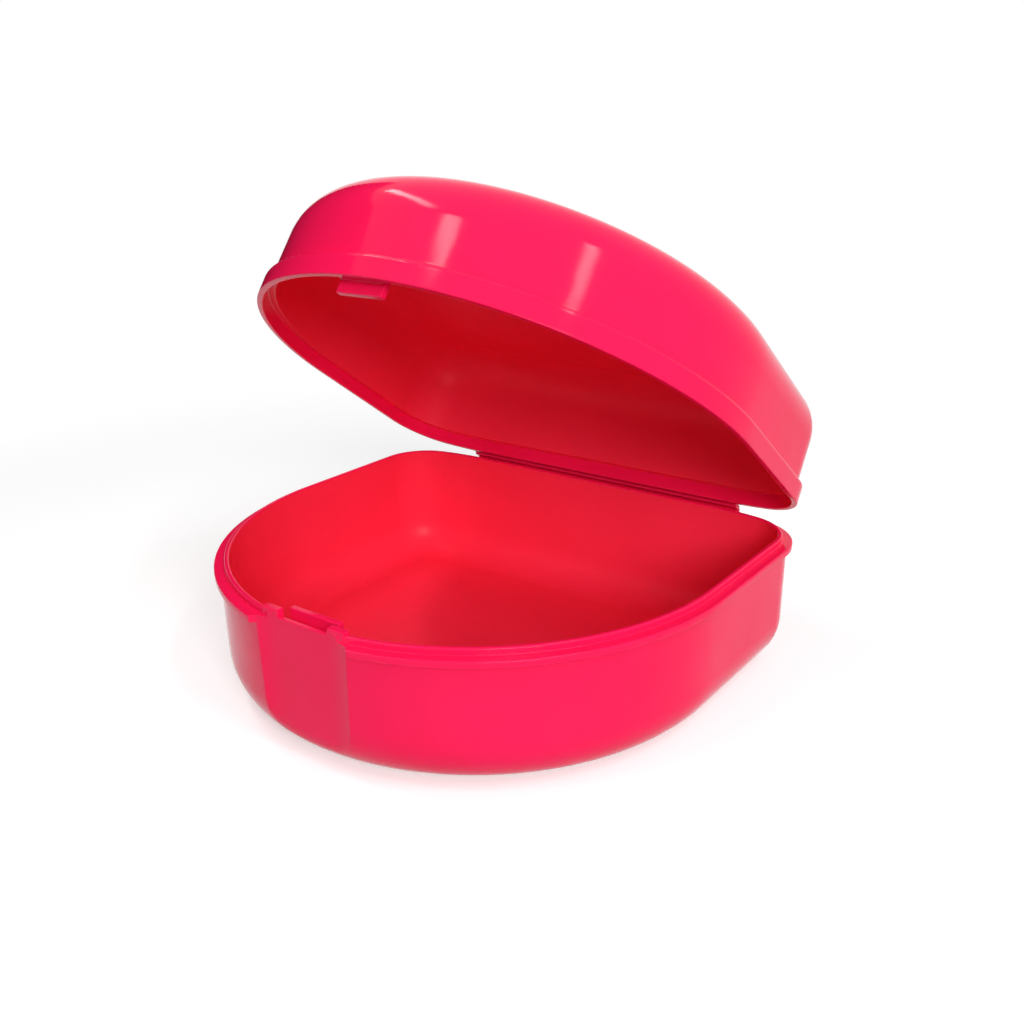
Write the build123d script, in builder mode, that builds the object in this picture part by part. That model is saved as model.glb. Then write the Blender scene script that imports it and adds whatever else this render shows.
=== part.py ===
"""Retainer case: a clamshell box for a dental retainer, standing part way open.

The base tray and the lid share one plan outline, a half circle at the front and a nearly
flat back.  They are joined along the back by a living hinge and held shut at the front by
a catch on the lid that drops behind a keeper in the base.

All sizes are in millimetres.  +Z is up, X runs along the hinge, the front is at -Y, and the
origin is the middle of the flat foot.
"""
import os
from math import cos, radians, sin, tan

from build123d import *

os.makedirs("parts", exist_ok=True)

# Plan outline, measured at the edge of the lid's skirt
case_width = 82.0
case_depth = 73.4
corner_radius = 9.7
rear_flat_width = 46.0
rear_bow_angle = 10.2

# Heights, measured from the parting plane where the two rims meet
base_height = 20.4
lid_height = 18.5
open_angle = 35.9

# Moulded walls
base_wall = 1.5
lid_wall = 1.2
floor_thickness = 1.3
draft_angle = 0.7
base_edge_radius = 7.4
lid_edge_radius = 8.0

# Base rim: an outer flange whose top is the ledge, and a lip that the lid goes over
ledge_reach = 0.5
flange_overhang = 0.85
flange_thickness = 1.1
lip_height = 1.0
rim_edge_chamfer = 0.25

# Lid rim: a skirt stepped out from the wall
skirt_height = 3.4
skirt_thickness = 0.9
shoulder_thickness = 1.1
shoulder_chamfer = 0.5
rim_gap = 0.1
fit_gap = 0.2

# Hinge: two stiff leaves and the thin film between them
hinge_half_length = 27.6
hinge_setback = 2.05
hinge_drop = 0.3
leaf_gap = 0.1
leaf_thickness = 0.75
film_thickness = 0.4

# Thumb scoop in the front of the base
scoop_depth = 1.7
scoop_floor_width = 12.6
scoop_mouth_width = 16.8
scoop_mouth_near = 0.36
scoop_height = 17.0
scoop_back_thickness = 1.2

# Latch: a keeper block in the base wall, posts beside it, and the catch on the lid
keeper_width = 9.2
keeper_height = 4.4
keeper_bar_thickness = 0.7
keeper_bar_rise = 0.4
slot_width = 1.6
slot_depth = 2.0
keeper_back_thickness = 0.9
post_width = 3.0
post_height = 1.4
post_thickness = 1.3
catch_width = 7.9
catch_thickness = 1.0
catch_drop = 1.3

# Planes and places worked out from the sizes above
half_width = case_width / 2
front_y = -case_depth / 2
back_y = case_depth / 2
front_centre_y = front_y + half_width
bow_sine = sin(radians(rear_bow_angle))
bow_cosine = cos(radians(rear_bow_angle))
corner_x = half_width - corner_radius
bow_radius = corner_radius + (corner_x - rear_flat_width / 2) / bow_sine
bow_centre_y = back_y - bow_radius
corner_y = bow_centre_y + (bow_radius - corner_radius) * bow_cosine
draft_per_mm = tan(radians(draft_angle))
base_wall_height = base_height - flange_thickness
base_wall_inset = flange_overhang - ledge_reach
foot_inset = base_wall_inset + base_wall_height * draft_per_mm
lip_inset = skirt_thickness + fit_gap
cavity_inset = base_wall_inset + base_wall
lid_wall_height = lid_height - skirt_height
hinge_y = back_y + hinge_setback
hinge_z = base_height - hinge_drop

open_sine = sin(radians(open_angle))
open_cosine = cos(radians(open_angle))


def base_plane(height):
    """Level plane at a height above the base's parting plane."""
    return Plane.XY.offset(base_height + height)


def turned_plane(height):
    """Level plane at a height above the hinge axis, turned about it with the lid."""
    origin = (
        0,
        hinge_y - hinge_y * open_cosine + height * open_sine,
        hinge_z + hinge_y * open_sine + height * open_cosine,
    )
    return Plane(origin=origin, x_dir=(1, 0, 0), z_dir=(0, open_sine, open_cosine))


def lid_plane(height):
    """Plane of the open lid at a height above the lid's own rim."""
    return turned_plane(hinge_drop + rim_gap + height)


def case_outline(inset):
    """Add the plan outline, drawn in from the edge of the lid's skirt by inset."""
    front_radius = half_width - inset
    with BuildLine() as outline:
        CenterArc((0, front_centre_y), front_radius, 180, 180)
        Line((front_radius, front_centre_y), (front_radius, corner_y))
        CenterArc((corner_x, corner_y), corner_radius - inset, 0, 90 - rear_bow_angle)
        CenterArc(
            (rear_flat_width / 2, bow_centre_y), bow_radius - inset, 90 - rear_bow_angle, rear_bow_angle
        )
        Line((rear_flat_width / 2, back_y - inset), (-rear_flat_width / 2, back_y - inset))
        CenterArc((-rear_flat_width / 2, bow_centre_y), bow_radius - inset, 90, rear_bow_angle)
        CenterArc((-corner_x, corner_y), corner_radius - inset, 90 + rear_bow_angle, 90 - rear_bow_angle)
        Line((-front_radius, corner_y), (-front_radius, front_centre_y))
    make_face(outline.edges())


def front_block(width, near, far):
    """Add a rectangle centred on X, from near to far behind the front of the plan outline."""
    with Locations((0, front_y + (near + far) / 2)):
        Rectangle(width, far - near)


# Inside of the base tray
with BuildPart() as base_hollow:
    with BuildSketch(Plane.XY.offset(floor_thickness)):
        case_outline(foot_inset + base_wall - floor_thickness * draft_per_mm)
    extrude(amount=base_height + lip_height, taper=-draft_angle)
    fillet(base_hollow.faces().sort_by(Axis.Z)[0].edges(), base_edge_radius - base_wall)

# Base tray: drafted walls on a flat foot, flange, ledge and lip, with the scoop and posts
keeper_near = scoop_depth
keeper_far = scoop_depth + keeper_bar_thickness + slot_width + keeper_back_thickness
with BuildPart() as base_shell:
    with BuildSketch(Plane.XY):
        case_outline(foot_inset)
    extrude(amount=base_wall_height, taper=-draft_angle)
    fillet(base_shell.faces().sort_by(Axis.Z)[0].edges(), base_edge_radius)
    with BuildSketch(base_plane(-flange_thickness)):
        case_outline(-ledge_reach)
    extrude(amount=flange_thickness)
    chamfer(base_shell.faces().sort_by(Axis.Z)[-1].edges(), rim_edge_chamfer)
    with BuildSketch(base_plane(0)):
        case_outline(lip_inset)
    extrude(amount=lip_height)
    chamfer(base_shell.faces().sort_by(Axis.Z)[-1].edges(), rim_edge_chamfer)
    with BuildSketch(base_plane(0)):
        with Locations(
            (-(keeper_width + post_width) / 2, front_y + scoop_depth + post_thickness / 2),
            ((keeper_width + post_width) / 2, front_y + scoop_depth + post_thickness / 2),
        ):
            Rectangle(post_width, post_thickness)
    extrude(amount=post_height)
    add(base_hollow.part, mode=Mode.SUBTRACT)
    # Back of the scoop: a flat inside the tray that keeps the wall thick where the scoop cuts in
    with BuildSketch(base_plane(-scoop_height)):
        front_block(keeper_width + 2 * post_width, cavity_inset, scoop_depth + scoop_back_thickness)
    extrude(amount=scoop_height + lip_height)
    with BuildSketch(base_plane(-scoop_height)):
        with BuildLine():
            Polyline(
                (-scoop_mouth_width / 2, front_y - scoop_depth),
                (-scoop_mouth_width / 2, front_y + scoop_mouth_near),
                (-scoop_floor_width / 2, front_y + scoop_depth),
                (scoop_floor_width / 2, front_y + scoop_depth),
                (scoop_mouth_width / 2, front_y + scoop_mouth_near),
                (scoop_mouth_width / 2, front_y - scoop_depth),
                close=True,
            )
        make_face()
    extrude(amount=scoop_height + lip_height + post_height, mode=Mode.SUBTRACT)
    # Notch that the keeper block fills
    with BuildSketch(base_plane(-keeper_height)):
        front_block(keeper_width, 0, keeper_far)
    extrude(amount=keeper_height + lip_height + post_height, mode=Mode.SUBTRACT)
    # Hinge leaf on the back edge of the flange
    with BuildSketch(Plane.XY.offset(hinge_z - leaf_gap)):
        with Locations((0, (back_y - base_wall_inset + hinge_y) / 2)):
            Rectangle(2 * hinge_half_length, hinge_setback + base_wall_inset)
    extrude(amount=-leaf_thickness)
base_shell.part.label = "base_shell"

# Keeper: a bar flush with the scoop, a slot for the catch and the wall behind the slot
with BuildPart() as base_keeper:
    with BuildSketch(base_plane(-keeper_height)):
        front_block(keeper_width, keeper_near, keeper_far)
    extrude(amount=keeper_height + lip_height)
    with BuildSketch(base_plane(-slot_depth)):
        front_block(keeper_width, keeper_near + keeper_bar_thickness, keeper_far - keeper_back_thickness)
    extrude(amount=slot_depth + lip_height, mode=Mode.SUBTRACT)
    with BuildSketch(base_plane(keeper_bar_rise)):
        front_block(keeper_width, 0, keeper_near + keeper_bar_thickness)
    extrude(amount=lip_height, mode=Mode.SUBTRACT)
base_keeper.part.label = "base_keeper"

# Inside of the lid, above the shoulder and inside the skirt
lid_up = lid_plane(0).z_dir
lid_axis = Axis(lid_plane(0).origin, lid_up)
lid_inner_inset = skirt_thickness + lid_wall
with BuildPart() as lid_hollow:
    with BuildSketch(lid_plane(0)):
        case_outline(lid_inner_inset - skirt_height * draft_per_mm)
    extrude(amount=lid_height - lid_wall, taper=draft_angle)
    fillet(lid_hollow.faces().sort_by(lid_axis)[-1].edges(), lid_edge_radius - lid_wall)
    with BuildSketch(lid_plane(0)):
        case_outline(skirt_thickness)
    extrude(amount=skirt_height - shoulder_thickness)

# Lid: drafted walls under a flat top, with the stepped skirt and the hinge leaf
with BuildPart() as lid_shell:
    with BuildSketch(lid_plane(0)):
        case_outline(0)
    extrude(amount=skirt_height)
    chamfer(lid_shell.faces().sort_by(lid_axis)[-1].edges(), shoulder_chamfer)
    with BuildSketch(lid_plane(skirt_height - shoulder_chamfer)):
        case_outline(skirt_thickness - shoulder_chamfer * draft_per_mm)
    extrude(amount=lid_wall_height + shoulder_chamfer, taper=draft_angle)
    fillet(lid_shell.faces().sort_by(lid_axis)[-1].edges(), lid_edge_radius)
    add(lid_hollow.part, mode=Mode.SUBTRACT)
    with BuildSketch(turned_plane(leaf_gap)):
        with Locations((0, (back_y - skirt_thickness / 2 + hinge_y) / 2)):
            Rectangle(2 * hinge_half_length, hinge_setback + skirt_thickness / 2)
    extrude(amount=leaf_thickness)
    # The leaf reaches below the rim only behind the flange of the base
    with BuildSketch(lid_plane(0)):
        case_outline(-ledge_reach - fit_gap)
    extrude(amount=-2 * leaf_thickness, mode=Mode.SUBTRACT)
lid_shell.part.label = "lid_shell"

# Catch: hangs from the lid's shoulder and reaches down into the keeper's slot
catch_near = keeper_near + keeper_bar_thickness + (slot_width - catch_thickness) / 2
catch_root_near = lip_inset + fit_gap
with BuildPart() as lid_catch:
    with BuildSketch(lid_plane(keeper_bar_rise + fit_gap)):
        front_block(catch_width, catch_root_near, catch_near + catch_thickness)
    extrude(amount=skirt_height - shoulder_thickness - keeper_bar_rise - fit_gap)
    with BuildSketch(lid_plane(-catch_drop)):
        front_block(catch_width, catch_near, catch_near + catch_thickness)
    extrude(amount=catch_drop + skirt_height - shoulder_thickness)
lid_catch.part.label = "lid_catch"

# Living hinge: a film bent round the hinge axis from one leaf's end to the other's
film_outer_radius = leaf_gap + film_thickness
film_turn = 180 - open_angle
with BuildPart() as living_hinge:
    with BuildSketch(Plane.YZ.offset(-hinge_half_length)):
        with BuildLine():
            CenterArc((hinge_y, hinge_z), film_outer_radius, -90, film_turn)
            CenterArc((hinge_y, hinge_z), leaf_gap, -90, film_turn)
            Line((hinge_y, hinge_z - leaf_gap), (hinge_y, hinge_z - film_outer_radius))
            PolarLine(
                (
                    hinge_y + leaf_gap * sin(radians(film_turn)),
                    hinge_z - leaf_gap * cos(radians(film_turn)),
                ),
                film_thickness,
                film_turn - 90,
            )
        make_face()
    extrude(amount=2 * hinge_half_length)
living_hinge.part.label = "living_hinge"

for piece in (base_shell, base_keeper, lid_shell, lid_catch, living_hinge):
    export_step(piece.part, f"parts/{piece.part.label}.step")
    print(piece.part.label, f"{piece.part.volume:.1f} mm3")
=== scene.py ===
"""Looks of the retainer case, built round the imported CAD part.

Every shape is in the part's own frame: +Z up, X along the hinge, the front at -Y, and the
origin in the middle of the flat foot.  Sizes are written in millimetres and turned to metres
where a mesh, lamp or camera is made.
"""

import bmesh
import bpy
import numpy as np
from mathutils import Matrix, Vector


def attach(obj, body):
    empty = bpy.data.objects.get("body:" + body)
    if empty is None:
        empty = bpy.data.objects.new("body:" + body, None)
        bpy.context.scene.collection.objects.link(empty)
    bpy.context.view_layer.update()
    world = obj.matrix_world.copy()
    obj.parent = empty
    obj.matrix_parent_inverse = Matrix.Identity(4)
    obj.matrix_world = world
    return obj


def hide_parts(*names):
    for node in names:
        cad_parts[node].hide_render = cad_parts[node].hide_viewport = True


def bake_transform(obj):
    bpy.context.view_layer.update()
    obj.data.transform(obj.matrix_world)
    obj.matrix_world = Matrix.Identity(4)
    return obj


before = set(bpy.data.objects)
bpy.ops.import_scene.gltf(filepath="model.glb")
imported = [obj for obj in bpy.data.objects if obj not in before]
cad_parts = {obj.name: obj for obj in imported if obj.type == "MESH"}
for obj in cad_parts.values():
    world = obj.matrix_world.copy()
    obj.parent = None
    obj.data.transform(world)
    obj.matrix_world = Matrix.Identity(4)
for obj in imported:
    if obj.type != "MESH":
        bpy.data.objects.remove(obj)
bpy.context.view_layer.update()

# Base tray: a half-round tub in polypropylene, moulded in one shot with the lid.  Its rim is
# an outer flange that the lid lands on and a lip that the lid goes over, and the front has a
# thumb scoop under the latch.
metres_per_mm = 0.001
half_width = 41.0
case_depth = 73.4
corner_radius = 9.7
rear_flat_half = 23.0
rear_bow = np.radians(10.2)
base_height = 20.4
base_edge_radius = 7.4
base_wall = 1.5
floor_thickness = 1.3
draft_per_mm = np.tan(np.radians(0.7))
ledge_reach = 0.5
flange_overhang = 0.85
flange_thickness = 1.1
lip_inset = 1.1
lip_height = 1.0
rim_edge_radius = 0.25
scoop_depth = 1.7
scoop_back_thickness = 1.2
scoop_back_half = 7.6
scoop_mouth_near = 0.36
scoop_floor_half = 4.6
scoop_wall_half = 8.4
scoop_wall_depth = 1.2
scoop_mouth_half = 9.2
notch_half_width = 4.6
keeper_height = 4.4
notch_front_rise = 0.34
flat_margin = 0.6
inner_corner_radius = 0.12
flange_edge_radius = 0.2

# The front is finely divided as far as fine_half_width from the middle, where the scoop and the
# notch are cut, and each other stretch of the plan has its own number of points
fine_half_width = 10
fine_points = 110
front_points = 72
line_points = 12
corner_points = 26
bow_points = 12
# An arc of a profile has arc_steps points.  A straight stretch of it is divided in equal parts,
# of which only the marks become points.  Rings at the closing scales divide a flat top or bottom
arc_steps = 10
stretch_parts = 30
stretch_marks = (1, 10, 20, 29)
closing_scales = (0.35, 0.7, 0.97)
crease_angle = np.radians(35)

front_y = -case_depth / 2
back_y = case_depth / 2
front_centre_y = front_y + half_width
corner_x = half_width - corner_radius
bow_radius = corner_radius + (corner_x - rear_flat_half) / np.sin(rear_bow)
bow_centre_y = back_y - bow_radius
corner_y = bow_centre_y + (bow_radius - corner_radius) * np.cos(rear_bow)
base_wall_inset = flange_overhang - ledge_reach
foot_inset = base_wall_inset + (base_height - flange_thickness) * draft_per_mm
cavity_inset = base_wall_inset + base_wall
notch_floor_z = base_height - keeper_height
notch_front_z = base_height + notch_front_rise


def arc(centre, radius, angles):
    """Points of a circle about centre at the angles given, in radians from +X."""
    return np.column_stack((centre[0] + radius * np.cos(angles), centre[1] + radius * np.sin(angles)))


def plan_ring(inset):
    """The plan outline drawn in by inset, as one closed ring of (x, y), anticlockwise.

    The right half runs from the front to the back: the front half circle, the side line, the
    corner arc, the bowed back and the flat middle of the back.  The left half mirrors it.
    Every inset has the same number of points, so that rings join up into a grid.
    """
    radius = half_width - inset
    near_latch = np.arcsin(np.linspace(0, fine_half_width, fine_points) / half_width)
    front_turn = np.concatenate((near_latch, np.linspace(near_latch[-1], np.pi / 2, front_points)[1:]))
    corner_turn = np.linspace(0, np.pi / 2 - rear_bow, corner_points)
    bow_turn = np.linspace(np.pi / 2 - rear_bow, np.pi / 2, bow_points)
    side_y = np.linspace(front_centre_y, corner_y, line_points + 1)[1:]
    rear_x = np.linspace(rear_flat_half, 0, line_points + 1)[1:]
    half = np.concatenate(
        (
            arc((0, front_centre_y), radius, front_turn - np.pi / 2),
            np.column_stack((np.full(line_points, radius), side_y)),
            arc((corner_x, corner_y), corner_radius - inset, corner_turn)[1:],
            arc((rear_flat_half, bow_centre_y), bow_radius - inset, bow_turn)[1:],
            np.column_stack((rear_x, np.full(line_points, back_y - inset))),
        )
    )
    return np.concatenate((half, half[-2:0:-1] * (-1, 1)))


def rounded_path(corners):
    """A path through (u, v, radius) corners, with an arc of that radius at each corner.

    An arc's centre lies on the corner's bisector at radius / sin(half angle), and it starts
    and ends at radius / tan(half angle) from the corner.  Each straight stretch has a point
    just inside both its ends, which keeps the shading of flat faces flat, and two between.
    """
    corners = np.asarray(corners, float)
    places = corners[:, :2]
    path = [places[:1]]
    for before, here, after, radius in zip(places, places[1:], places[2:], corners[1:-1, 2]):
        back = (before - here) / np.linalg.norm(before - here)
        ahead = (after - here) / np.linalg.norm(after - here)
        half = np.arccos(np.clip(back @ ahead, -1, 1)) / 2
        middle = here + (back + ahead) / np.linalg.norm(back + ahead) * radius / np.sin(half)
        start = here + back * radius / np.tan(half) - middle
        end = here + ahead * radius / np.tan(half) - middle
        swing = np.linspace(0, np.pi - 2 * half, arc_steps)[:, None]
        across = end - start * (end @ start) / (start @ start)
        across *= radius / np.linalg.norm(across)
        path.append(middle + start * np.cos(swing) + across * np.sin(swing))
    path.append(places[-1:])
    joined = [path[0]]
    for stretch, following in zip(path, path[1:]):
        straight = np.linspace(stretch[-1], following[0], stretch_parts + 1)
        joined.append(straight[list(stretch_marks)])
        joined.append(following)
    return np.concatenate(joined)


def new_piece(name, points, faces):
    """A mesh object from points in millimetres, with its faces turned to point outwards."""
    mesh = bpy.data.meshes.new(name)
    mesh.from_pydata((points * metres_per_mm).tolist(), [], faces)
    solid = bmesh.new()
    solid.from_mesh(mesh)
    bmesh.ops.recalc_face_normals(solid, faces=solid.faces)
    solid.to_mesh(mesh)
    solid.free()
    mesh.set_sharp_from_angle(angle=crease_angle)
    piece = bpy.data.objects.new(name, mesh)
    bpy.context.scene.collection.objects.link(piece)
    return piece


def ring_quads(index):
    """The quads between neighbouring rows of a grid of point numbers, each row a closed ring."""
    along = np.roll(index, -1, axis=1)
    return np.stack((index[:-1], along[:-1], along[1:], index[1:]), axis=-1).reshape(-1, 4)


def shell_piece(name, rings):
    """A closed shell from a stack of rings, each a row of (x, y, z) points.

    Neighbouring rings are joined by quads, and the first and last rings are closed by
    triangles to the middle of the ring.
    """
    count, around = rings.shape[:2]
    index = np.arange(count * around).reshape(count, around)
    along = np.roll(index, -1, axis=1)
    poles = np.stack((rings[0].mean(axis=0), rings[-1].mean(axis=0)))
    first = np.column_stack((index[0], along[0], np.full(around, count * around)))
    last = np.column_stack((index[-1], along[-1], np.full(around, count * around + 1)))
    points = np.concatenate((rings.reshape(-1, 3), poles))
    return new_piece(name, points, ring_quads(index).tolist() + first.tolist() + last.tolist())


def case_rings(profile, flat_height_first, flat_height_last):
    """Rings of the plan outline at each (inset, height) of a profile.

    Past the profile's two ends, which lie on flat faces, rings shrink towards the middle.
    """
    rings = np.array([np.insert(plan_ring(inset), 2, height, axis=1) for inset, height in profile])
    middle = np.array((0, (front_y + back_y) / 2, 0))
    closing = np.array([(scale, scale, 0) for scale in closing_scales])[:, None]
    first = (rings[0] - middle) * closing + middle + (0, 0, flat_height_first)
    last = (rings[-1] - middle) * closing[::-1] + middle + (0, 0, flat_height_last)
    return np.concatenate((first, rings, last))


def arc_end_row(corner):
    """The ring at the end of a profile corner's arc, with the profile's first point as corner 0.

    Before it are the closing rings, and for each corner its arc and the marks of the straight
    stretch that leads to it.
    """
    return len(closing_scales) + corner * (arc_steps + len(stretch_marks))


base_profile = rounded_path(
    [
        (foot_inset + base_edge_radius + flat_margin, 0, 0),
        (foot_inset, 0, base_edge_radius),
        (base_wall_inset, base_height - flange_thickness, inner_corner_radius),
        (-ledge_reach, base_height - flange_thickness, flange_edge_radius),
        (-ledge_reach, base_height, rim_edge_radius),
        (lip_inset, base_height, inner_corner_radius),
        (lip_inset, base_height + lip_height, rim_edge_radius),
        (cavity_inset, base_height + lip_height, rim_edge_radius),
        (foot_inset + base_wall, floor_thickness, base_edge_radius - base_wall),
        (foot_inset + base_edge_radius + flat_margin, floor_thickness, 0),
    ]
)
base_rings = case_rings(base_profile, 0, floor_thickness)
ring_x, ring_y, ring_z = base_rings[..., 0], base_rings[..., 1], base_rings[..., 2]
# The lip's inner top edge is corner 7, and the inside starts two rings down the wall from it
lip_inner_row = arc_end_row(7)
inner_wall = np.arange(len(base_rings))[:, None] >= lip_inner_row + 2
outside = ~inner_wall & (ring_y < 0)
inside = inner_wall & (ring_y < 0)
# The scoop keeps every outside point behind its floor, which is flat in the middle, rises
# towards the wall as the square of the way there, and ends in the flange's cut ends
toward_wall = np.clip((np.abs(ring_x) - scoop_floor_half) / (scoop_wall_half - scoop_floor_half), 0, 1)
through_flange = np.clip((np.abs(ring_x) - scoop_wall_half) / (scoop_mouth_half - scoop_wall_half), 0, 1)
scoop_y = (
    front_y + scoop_depth - toward_wall**2 * (scoop_depth - scoop_wall_depth)
    - through_flange * (scoop_wall_depth - scoop_mouth_near)
)
in_scoop = outside & (np.abs(ring_x) < scoop_mouth_half)
ring_y[:] = np.where(in_scoop, np.maximum(ring_y, scoop_y), ring_y)
# Behind the scoop the inside wall is flat, which keeps it thick there
behind = inside & (np.abs(ring_x) < scoop_back_half)
ring_y[:] = np.where(behind, np.maximum(ring_y, front_y + scoop_depth + scoop_back_thickness), ring_y)
# Between the posts the outside stops under the top of the keeper's bar, and the inside stops
# at the floor of the notch that holds the keeper
in_notch = np.abs(ring_x) < notch_half_width
ring_z[:] = np.where(in_notch & outside, np.minimum(ring_z, notch_front_z), ring_z)
ring_z[:] = np.where(in_notch & inside, np.minimum(ring_z, notch_floor_z), ring_z)
base_tray = shell_piece("base_tray", base_rings)


def linear(hex_colour):
    """A colour written as sRGB hex, turned to the linear values that shaders take.

    Each value up to 0.04045 is divided by 12.92, and each larger one has 0.055 added, is
    divided by 1.055 and is raised to the power 2.4.
    """
    parts = np.array([int(hex_colour[i:i + 2], 16) for i in (1, 3, 5)]) / 255
    values = np.where(parts <= 0.04045, parts / 12.92, ((parts + 0.055) / 1.055) ** 2.4)
    return (*values.tolist(), 1.0)


def add_node(tree, kind, settings=None, inputs=None):
    """Add a node of a kind, set its settings, and set or link its inputs by name."""
    node = tree.nodes.new(kind)
    for name, value in (settings or {}).items():
        setattr(node, name, value)
    for name, value in (inputs or {}).items():
        if isinstance(value, bpy.types.NodeSocket):
            tree.links.new(value, node.inputs[name])
        else:
            node.inputs[name].default_value = value
    return node


mm_per_metre = 1000
cloud_mm = 22.0
waviness_mm = 9.0
waviness_height_mm = 0.6
waviness_strength = 0.16
# The haze of a real tool's face is finer, and is drawn this coarse so that it shows
haze_mm = 1.6
clearest = 0.8
dullest = 1.25
plastic_ior = 1.2


def empty_material(name):
    """A material with its nodes switched on and none in it yet."""
    material = bpy.data.materials.new(name)
    material.use_nodes = True
    material.node_tree.nodes.clear()
    return material


def moulded_polypropylene(name, deep, bright, roughness):
    """Injection-moulded polypropylene, glossy or satin by its roughness.

    A tool's face leaves its gloss with a slow waviness from shrinkage and a fine haze, and the
    melt's flow leaves faint clouds of colour between deep and bright.  The IOR is lower than
    polypropylene's 1.49, to match how little the pale surround shows in the sides.
    """
    material = empty_material(name)
    tree = material.node_tree
    place = add_node(tree, "ShaderNodeTexCoord").outputs["Object"]
    cloud = add_node(
        tree, "ShaderNodeTexNoise",
        inputs={"Vector": place, "Scale": mm_per_metre / cloud_mm, "Detail": 3.0},
    )
    colour = add_node(tree, "ShaderNodeMix", {"data_type": "RGBA"}, {0: cloud.outputs["Fac"]})
    colour.inputs["A"].default_value = linear(deep)
    colour.inputs["B"].default_value = linear(bright)
    wave = add_node(
        tree, "ShaderNodeTexNoise",
        inputs={"Vector": place, "Scale": mm_per_metre / waviness_mm, "Detail": 1.0},
    )
    relief = add_node(
        tree, "ShaderNodeBump",
        inputs={
            "Height": wave.outputs["Fac"], "Strength": waviness_strength,
            "Distance": waviness_height_mm * metres_per_mm,
        },
    )
    haze = add_node(
        tree, "ShaderNodeTexNoise",
        inputs={"Vector": place, "Scale": mm_per_metre / haze_mm, "Detail": 4.0},
    )
    gloss = add_node(
        tree, "ShaderNodeMapRange",
        inputs={
            "Value": haze.outputs["Fac"],
            "To Min": roughness * clearest, "To Max": roughness * dullest,
        },
    )
    surface = add_node(
        tree, "ShaderNodeBsdfPrincipled",
        inputs={
            "Base Color": colour.outputs["Result"], "Roughness": gloss.outputs["Result"],
            "Normal": relief.outputs["Normal"], "IOR": plastic_ior,
        },
    )
    add_node(tree, "ShaderNodeOutputMaterial", inputs={"Surface": surface.outputs["BSDF"]})
    return material


case_plastic = moulded_polypropylene(
    "injection_moulded_polypropylene", deep="#F01448", bright="#FB1A5A", roughness=0.11
)
satin_plastic = moulded_polypropylene(
    "satin_core_side_polypropylene", deep="#F42A46", bright="#FD3252", roughness=0.36
)


def satin_inside(piece, rings, first_row):
    """Give a shell both finishes, satin on the quads from first_row on and on its last pole.

    The core side of a mould leaves a duller finish than the polished outside.
    """
    count, around = rings.shape[:2]
    piece.data.materials.append(case_plastic)
    piece.data.materials.append(satin_plastic)
    finish = np.repeat(np.arange(count - 1) >= first_row, around)
    poles = np.repeat((False, True), around)
    piece.data.polygons.foreach_set("material_index", np.concatenate((finish, poles)).astype(np.int32))


satin_inside(base_tray, base_rings, lip_inner_row)
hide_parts("base_shell")
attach(base_tray, "base")

# Latch posts: two small blocks standing on the rim beside the keeper, moulded with the tray.
# They guide the lid's catch sideways.
post_width = 3.0
post_height = 1.4
post_thickness = 1.3
post_edge_radius = 0.18
# The fronts of the posts and the keeper stand this far behind the scoop's floor, so that no two
# faces lie in one plane
flush_gap = 0.03
bevel_segments = 4


def bar_piece(name, profile, left, right, bevel_mm, turn=None):
    """A straight bar along X from left to right, whose section is a closed (y, z) profile.

    The section's points are copied to both ends and joined by quads.  turn maps points to
    where a turned piece stands, and a Bevel modifier rounds the edges as a mould does.
    """
    count = len(profile)
    ends = [np.column_stack((np.full(count, x), profile)) for x in (left, right)]
    points = np.concatenate(ends)
    if turn is not None:
        points = turn(points)
    index = np.arange(2 * count).reshape(2, count)
    caps = [index[0, ::-1].tolist(), index[1].tolist()]
    piece = new_piece(name, points, ring_quads(index).tolist() + caps)
    bevel = piece.modifiers.new("rounded edges", "BEVEL")
    bevel.width = bevel_mm * metres_per_mm
    bevel.segments = bevel_segments
    bevel.limit_method = "ANGLE"
    bevel.harden_normals = True
    return piece


def block_profile(near, far, low, high):
    """A rectangle's (y, z) corners, with near and far measured from the rim's front edge."""
    return np.array(
        ((front_y + near, low), (front_y + far, low), (front_y + far, high), (front_y + near, high))
    )


for side, name in ((-1, "latch_post_left"), (1, "latch_post_right")):
    middle = side * (notch_half_width + post_width / 2)
    post = bar_piece(
        name,
        block_profile(
            scoop_depth + flush_gap, scoop_depth + post_thickness,
            base_height - post_height, base_height + post_height,
        ),
        middle - post_width / 2, middle + post_width / 2, post_edge_radius,
    )
    post.data.materials.append(case_plastic)
    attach(post, "base")

# Keeper: the small block in the rim that the catch drops behind, a bar in front, a slot and a
# wall at the back, moulded with the tray.
keeper_bar_thickness = 0.7
keeper_bar_rise = 0.4
slot_width = 1.6
slot_depth = 2.0
keeper_back_thickness = 0.9
keeper_edge_radius = 0.12
slot_near = scoop_depth + keeper_bar_thickness
slot_far = slot_near + slot_width
keeper_far = slot_far + keeper_back_thickness
keeper_section = np.array(
    (
        (front_y + scoop_depth + flush_gap, notch_floor_z),
        (front_y + keeper_far, notch_floor_z),
        (front_y + keeper_far, base_height + lip_height),
        (front_y + slot_far, base_height + lip_height),
        (front_y + slot_far, base_height - slot_depth),
        (front_y + slot_near, base_height - slot_depth),
        (front_y + slot_near, base_height + keeper_bar_rise),
        (front_y + scoop_depth + flush_gap, base_height + keeper_bar_rise),
    )
)
keeper = bar_piece("keeper", keeper_section, -notch_half_width, notch_half_width, keeper_edge_radius)
keeper.data.materials.append(case_plastic)
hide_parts("base_keeper")
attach(keeper, "base")

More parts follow.
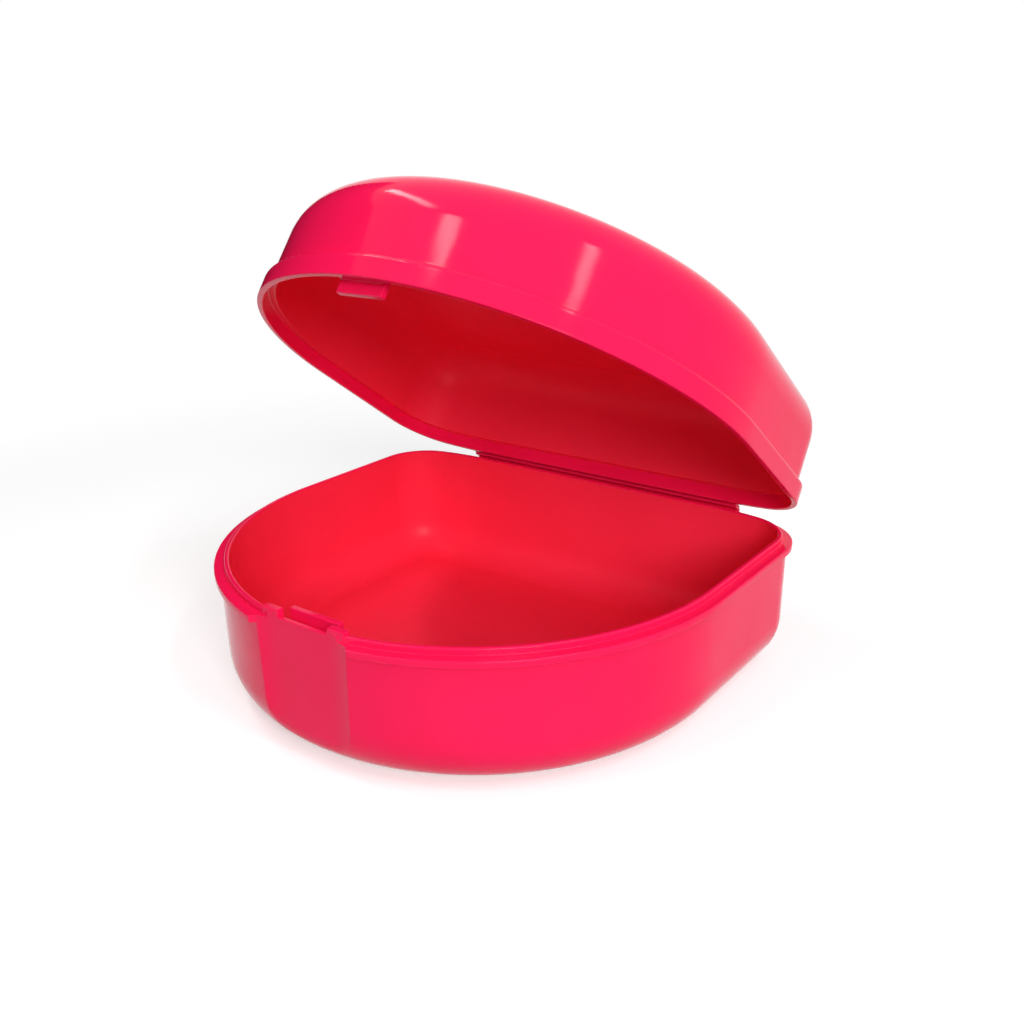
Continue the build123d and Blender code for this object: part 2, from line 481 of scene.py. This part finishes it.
# Lid: the same plan as the tray, with a flat top, a large rounded edge and a skirt stepped out
# from the wall.  It stands part way open, turned about the hinge at the back.
lid_height = 18.5
lid_edge_radius = 8.0
lid_wall = 1.2
skirt_height = 3.4
skirt_thickness = 0.9
shoulder_thickness = 1.1
shoulder_radius = 0.7
skirt_edge_radius = 0.18
step_edge_radius = 0.2
lid_flat_margin = 0.5
hinge_setback = 2.05
hinge_drop = 0.3
rim_gap = 0.1
open_angle = np.radians(35.9)
hinge_y = back_y + hinge_setback
hinge_z = base_height - hinge_drop


def turn_with_lid(points):
    """Points of the closed lid, with heights above its rim, moved to where the lid stands.

    The lid is turned about the hinge's axis by the opening angle, front edge up.
    """
    over = points[..., 2] + hinge_drop + rim_gap
    behind_axis = points[..., 1] - hinge_y
    y = hinge_y + behind_axis * np.cos(open_angle) + over * np.sin(open_angle)
    z = hinge_z - behind_axis * np.sin(open_angle) + over * np.cos(open_angle)
    return np.stack((points[..., 0], y, z), axis=-1)


top_inset = skirt_thickness + (lid_height - skirt_height) * draft_per_mm
inner_top = lid_height - lid_wall
lid_profile = rounded_path(
    [
        (top_inset + lid_edge_radius + lid_flat_margin, lid_height, 0),
        (top_inset, lid_height, lid_edge_radius),
        (skirt_thickness, skirt_height, skirt_edge_radius),
        (0, skirt_height, shoulder_radius),
        (0, 0, skirt_edge_radius),
        (skirt_thickness, 0, skirt_edge_radius),
        (skirt_thickness, skirt_height - shoulder_thickness, inner_corner_radius),
        (skirt_thickness + lid_wall, skirt_height - shoulder_thickness, step_edge_radius),
        (top_inset + lid_wall, inner_top, lid_edge_radius - lid_wall),
        (top_inset + lid_edge_radius + lid_flat_margin, inner_top, 0),
    ]
)
lid_rings = case_rings(lid_profile, lid_height, inner_top)
lid = shell_piece("lid", turn_with_lid(lid_rings))
# The corner inside the skirt is corner 6
satin_inside(lid, lid_rings, arc_end_row(6))
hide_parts("lid_shell")
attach(lid, "lid")

# Catch: a tab that hangs inside the lid's skirt and drops into the keeper's slot, moulded with
# the lid.
catch_half_width = 3.95
catch_thickness = 1.0
catch_drop = 1.3
catch_clearance = 0.2
catch_edge_radius = 0.15
catch_root_near = lip_inset + catch_clearance
catch_near = slot_near + (slot_width - catch_thickness) / 2
catch_far = catch_near + catch_thickness
catch_top = skirt_height - shoulder_thickness
catch_step = keeper_bar_rise + catch_clearance
catch_section = np.array(
    (
        (front_y + catch_near, -catch_drop),
        (front_y + catch_far, -catch_drop),
        (front_y + catch_far, catch_top),
        (front_y + catch_root_near, catch_top),
        (front_y + catch_root_near, catch_step),
        (front_y + catch_near, catch_step),
    )
)
catch = bar_piece(
    "catch", catch_section, -catch_half_width, catch_half_width, catch_edge_radius, turn_with_lid
)
catch.data.materials.append(case_plastic)
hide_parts("lid_catch")
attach(catch, "lid")

# Hinge leaves: stiff strips that reach back from both rims to the hinge.  The lower one is
# moulded with the tray and the upper one with the lid.
hinge_half_length = 27.6
leaf_gap = 0.1
leaf_thickness = 0.75
base_leaf_edge_radius = 0.12
lid_leaf_edge_radius = 0.1
leaf_clearance = 0.2
leaf_above_rim = 0.05
base_leaf_section = np.array(
    (
        (back_y - base_wall_inset, hinge_z - leaf_gap - leaf_thickness),
        (hinge_y, hinge_z - leaf_gap - leaf_thickness),
        (hinge_y, hinge_z - leaf_gap),
        (back_y - base_wall_inset, hinge_z - leaf_gap),
    )
)
base_leaf = bar_piece(
    "hinge_leaf_base", base_leaf_section, -hinge_half_length, hinge_half_length, base_leaf_edge_radius
)
base_leaf.data.materials.append(case_plastic)
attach(base_leaf, "base")

lid_leaf_low = leaf_gap - hinge_drop - rim_gap
lid_leaf_section = np.array(
    (
        (back_y + ledge_reach + leaf_clearance, lid_leaf_low),
        (hinge_y, lid_leaf_low),
        (hinge_y, lid_leaf_low + leaf_thickness),
        (back_y - skirt_thickness / 2, lid_leaf_low + leaf_thickness),
        (back_y - skirt_thickness / 2, leaf_above_rim),
        (back_y + ledge_reach + leaf_clearance, leaf_above_rim),
    )
)
lid_leaf = bar_piece(
    "hinge_leaf_lid", lid_leaf_section, -hinge_half_length, hinge_half_length,
    lid_leaf_edge_radius, turn_with_lid,
)
lid_leaf.data.materials.append(case_plastic)
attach(lid_leaf, "lid")

# Living hinge: the thin film that joins the two leaves, drawn bent to the lid's opening.  It is
# moulded in one with both of them, and its section is a part of a ring about the hinge's axis.
film_thickness = 0.4
film_arc_points = 25
film_station_count = 41
film_turn = np.pi - open_angle
film_angles = np.linspace(0, film_turn, film_arc_points) - np.pi / 2
hinge_axis = (hinge_y, hinge_z)
film_section = np.concatenate(
    (
        arc(hinge_axis, leaf_gap + film_thickness, film_angles),
        arc(hinge_axis, leaf_gap, film_angles[::-1]),
    )
)
# The section is copied to every station along X and joined by quads, and a strip of quads from
# its outer arc to its inner one closes each end
film_count = len(film_section)
film_stations = np.linspace(-hinge_half_length, hinge_half_length, film_station_count)
film_points = np.column_stack(
    (np.repeat(film_stations, film_count), np.tile(film_section, (film_station_count, 1)))
)
film_index = np.arange(film_station_count * film_count).reshape(film_station_count, film_count)
film_strip = np.arange(film_arc_points - 1)
film_cap = np.column_stack(
    (film_strip, film_strip + 1, film_count - 2 - film_strip, film_count - 1 - film_strip)
)
film_faces = np.concatenate((ring_quads(film_index), film_cap, film_cap + film_index[-1, 0]))
film = new_piece("living_hinge_film", film_points, film_faces.tolist())
film.data.materials.append(case_plastic)
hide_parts("living_hinge")
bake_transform(film)

# Floor: a sheet of matt white card that the case stands on, which takes its shadow.  It turns
# to plain white away from the case, and lights the case less than its look would.
floor_half_mm = 1200
fade_start_mm = 90
fade_end_mm = 210
card_glow_strength = 0.4


def card_sheet(name, corners_mm, material):
    """A flat sheet of card, one face between four corners in millimetres."""
    mesh = bpy.data.meshes.new(name)
    mesh.from_pydata((np.array(corners_mm) * metres_per_mm).tolist(), [], [(0, 1, 2, 3)])
    mesh.materials.append(material)
    sheet = bpy.data.objects.new(name, mesh)
    bpy.context.scene.collection.objects.link(sheet)
    return sheet


def sees_background(tree):
    """A value that is 1 for camera, glossy and transmission rays, and 0 for the rest."""
    rays = add_node(tree, "ShaderNodeLightPath").outputs
    direct = add_node(
        tree, "ShaderNodeMath", {"operation": "MAXIMUM"},
        {0: rays["Is Camera Ray"], 1: rays["Is Glossy Ray"]},
    )
    either = add_node(
        tree, "ShaderNodeMath", {"operation": "MAXIMUM"},
        {0: direct.outputs["Value"], 1: rays["Is Transmission Ray"]},
    )
    return either.outputs["Value"]


def matt_white_card():
    """Matt white card, lit near the case and plain white past the fade.

    Rays that see the background meet diffuse card with a little glow, mixed towards white by
    a smooth step of the distance from the middle.  The light that the floor throws on the
    case comes from dimmer card.
    """
    material = empty_material("matt_white_card")
    tree = material.node_tree
    place = add_node(tree, "ShaderNodeTexCoord")
    distance = add_node(
        tree, "ShaderNodeVectorMath", {"operation": "LENGTH"}, {0: place.outputs["Object"]}
    )
    faded = add_node(
        tree, "ShaderNodeMapRange", {"interpolation_type": "SMOOTHSTEP"},
        {
            "Value": distance.outputs["Value"],
            "From Min": fade_start_mm * metres_per_mm, "From Max": fade_end_mm * metres_per_mm,
        },
    )
    lit = add_node(tree, "ShaderNodeBsdfDiffuse", inputs={"Color": linear("#E8E8E8")})
    glow = add_node(
        tree, "ShaderNodeEmission", inputs={"Color": linear("#FFFFFF"), "Strength": card_glow_strength}
    )
    near = add_node(tree, "ShaderNodeAddShader")
    tree.links.new(lit.outputs["BSDF"], near.inputs[0])
    tree.links.new(glow.outputs["Emission"], near.inputs[1])
    far = add_node(tree, "ShaderNodeEmission", inputs={"Color": linear("#FFFFFF"), "Strength": 1.0})
    seen = add_node(tree, "ShaderNodeMixShader", inputs={0: faded.outputs["Result"]})
    tree.links.new(near.outputs["Shader"], seen.inputs[1])
    tree.links.new(far.outputs["Emission"], seen.inputs[2])
    dim = add_node(tree, "ShaderNodeBsdfDiffuse", inputs={"Color": linear("#B4B4B4")})
    surface = add_node(tree, "ShaderNodeMixShader", inputs={0: sees_background(tree)})
    tree.links.new(dim.outputs["BSDF"], surface.inputs[1])
    tree.links.new(seen.outputs["Shader"], surface.inputs[2])
    add_node(tree, "ShaderNodeOutputMaterial", inputs={"Surface": surface.outputs["Shader"]})
    return material


floor_corners = [
    (-floor_half_mm, -floor_half_mm, 0),
    (floor_half_mm, -floor_half_mm, 0),
    (floor_half_mm, floor_half_mm, 0),
    (-floor_half_mm, floor_half_mm, 0),
]
floor = card_sheet("floor", floor_corners, matt_white_card())

# Light: a white surround, which lights the case less from the left than from the right, a large
# soft key beside the camera, and three small windows whose reflections show on the lid.
left_strength = 0.12
right_strength = 0.5
world = bpy.data.worlds.new("white_surround")
bpy.context.scene.world = world
world.use_nodes = True
surround = world.node_tree
surround.nodes.clear()
seen = sees_background(surround)
direction = add_node(surround, "ShaderNodeTexCoord")
sideways = add_node(surround, "ShaderNodeSeparateXYZ", inputs={"Vector": direction.outputs["Generated"]})
room = add_node(
    surround, "ShaderNodeMapRange",
    inputs={
        "Value": sideways.outputs["X"], "From Min": -1.0, "From Max": 1.0,
        "To Min": left_strength, "To Max": right_strength,
    },
)
strength = add_node(
    surround, "ShaderNodeMapRange",
    inputs={"Value": seen, "To Min": room.outputs["Result"], "To Max": 1.0},
)
glow = add_node(
    surround, "ShaderNodeBackground",
    inputs={"Color": linear("#FFFFFF"), "Strength": strength.outputs["Result"]},
)
add_node(surround, "ShaderNodeOutputWorld", inputs={"Surface": glow.outputs["Background"]})


def standing(right, up, back, place_mm):
    """The matrix that points an object's X, Y and Z along three directions, at a place."""
    place = place_mm * metres_per_mm
    return Matrix(
        (
            (right.x, up.x, back.x, place.x),
            (right.y, up.y, back.y, place.y),
            (right.z, up.z, back.z, place.z),
            (0, 0, 0, 1),
        )
    )


def light_strip(name, ends_mm, aim_mm, width_mm, watts):
    """A rectangular lamp that runs between two ends and faces an aim point.

    Its length lies along the line between the ends, and its face is square to the line from
    its middle to the aim, with the part of that line along its length taken away.
    """
    first, last = (Vector(end) for end in ends_mm)
    lamp = bpy.data.lights.new(name, "AREA")
    lamp.shape = "RECTANGLE"
    lamp.size = (last - first).length * metres_per_mm
    lamp.size_y = width_mm * metres_per_mm
    lamp.energy = watts
    along = (last - first).normalized()
    middle = (first + last) / 2
    away = middle - Vector(aim_mm)
    away = (away - along * away.dot(along)).normalized()
    across = away.cross(along)
    holder = bpy.data.objects.new(name, lamp)
    bpy.context.scene.collection.objects.link(holder)
    holder.matrix_world = standing(along, across, away, middle)


light_strip(
    "key_by_the_camera", ends_mm=((502, -718, 420), (778, -402, 420)), aim_mm=(0, 0, 30),
    width_mm=320, watts=6.0,
)
light_strip(
    "window_left", ends_mm=((-93, -208, 429), (-43, -240, 420)), aim_mm=(11, -16, 69),
    width_mm=34, watts=0.14,
)
light_strip(
    "window_right", ends_mm=((312, -133, 343), (236, 32, 429)), aim_mm=(26, -8, 65),
    width_mm=32, watts=0.42,
)
light_strip(
    "window_far_left", ends_mm=((-286, 63, 372), (-148, -136, 443)), aim_mm=(4, -14, 74),
    width_mm=26, watts=0.38,
)

# Dark card: a sheet of matt black card that stands off to the left, out of the camera's sight.
# The left side of the case reflects it, which darkens that side.
dark_card_x = -190
dark_card_front = -140
dark_card_back = 120
dark_card_low = 30
dark_card_high = 240


def matt_black_card():
    """Matt black card, one diffuse colour that hardly lights what stands beside it."""
    material = empty_material("matt_black_card")
    tree = material.node_tree
    face = add_node(tree, "ShaderNodeBsdfDiffuse", inputs={"Color": linear("#141414")})
    add_node(tree, "ShaderNodeOutputMaterial", inputs={"Surface": face.outputs["BSDF"]})
    return material


dark_card_corners = [
    (dark_card_x, dark_card_front, dark_card_low),
    (dark_card_x, dark_card_back, dark_card_low),
    (dark_card_x, dark_card_back, dark_card_high),
    (dark_card_x, dark_card_front, dark_card_high),
]
dark_card = card_sheet("dark_card", dark_card_corners, matt_black_card())
dark_card.visible_camera = False

# Camera: the photograph's view, found by fitting the case's outlines to it.  It looks down on
# the front right of the case, and its roll and aim come from the same fit.
camera_azimuth = np.radians(36.32)
camera_elevation = np.radians(20.22)
camera_roll = np.radians(-0.82)
camera_distance = 176.79
camera_aim = Vector((0.747, 10.954, 22.849))
lens_mm = 38.416
sensor_mm = 36.0
nearest_mm = 10
back = Vector(
    (
        np.sin(camera_azimuth) * np.cos(camera_elevation),
        -np.cos(camera_azimuth) * np.cos(camera_elevation),
        np.sin(camera_elevation),
    )
)
level_right = Vector((np.cos(camera_azimuth), np.sin(camera_azimuth), 0))
level_up = back.cross(level_right)
right = level_right * np.cos(camera_roll) + level_up * np.sin(camera_roll)
up = level_up * np.cos(camera_roll) - level_right * np.sin(camera_roll)
camera_data = bpy.data.cameras.new("camera")
camera_data.lens = lens_mm
camera_data.sensor_width = sensor_mm
camera_data.clip_start = nearest_mm * metres_per_mm
camera = bpy.data.objects.new("camera", camera_data)
bpy.context.scene.collection.objects.link(camera)
camera.matrix_world = standing(right, up, back, camera_aim + back * camera_distance)
bpy.context.scene.camera = camera
bpy.context.scene.view_settings.view_transform = "Standard"
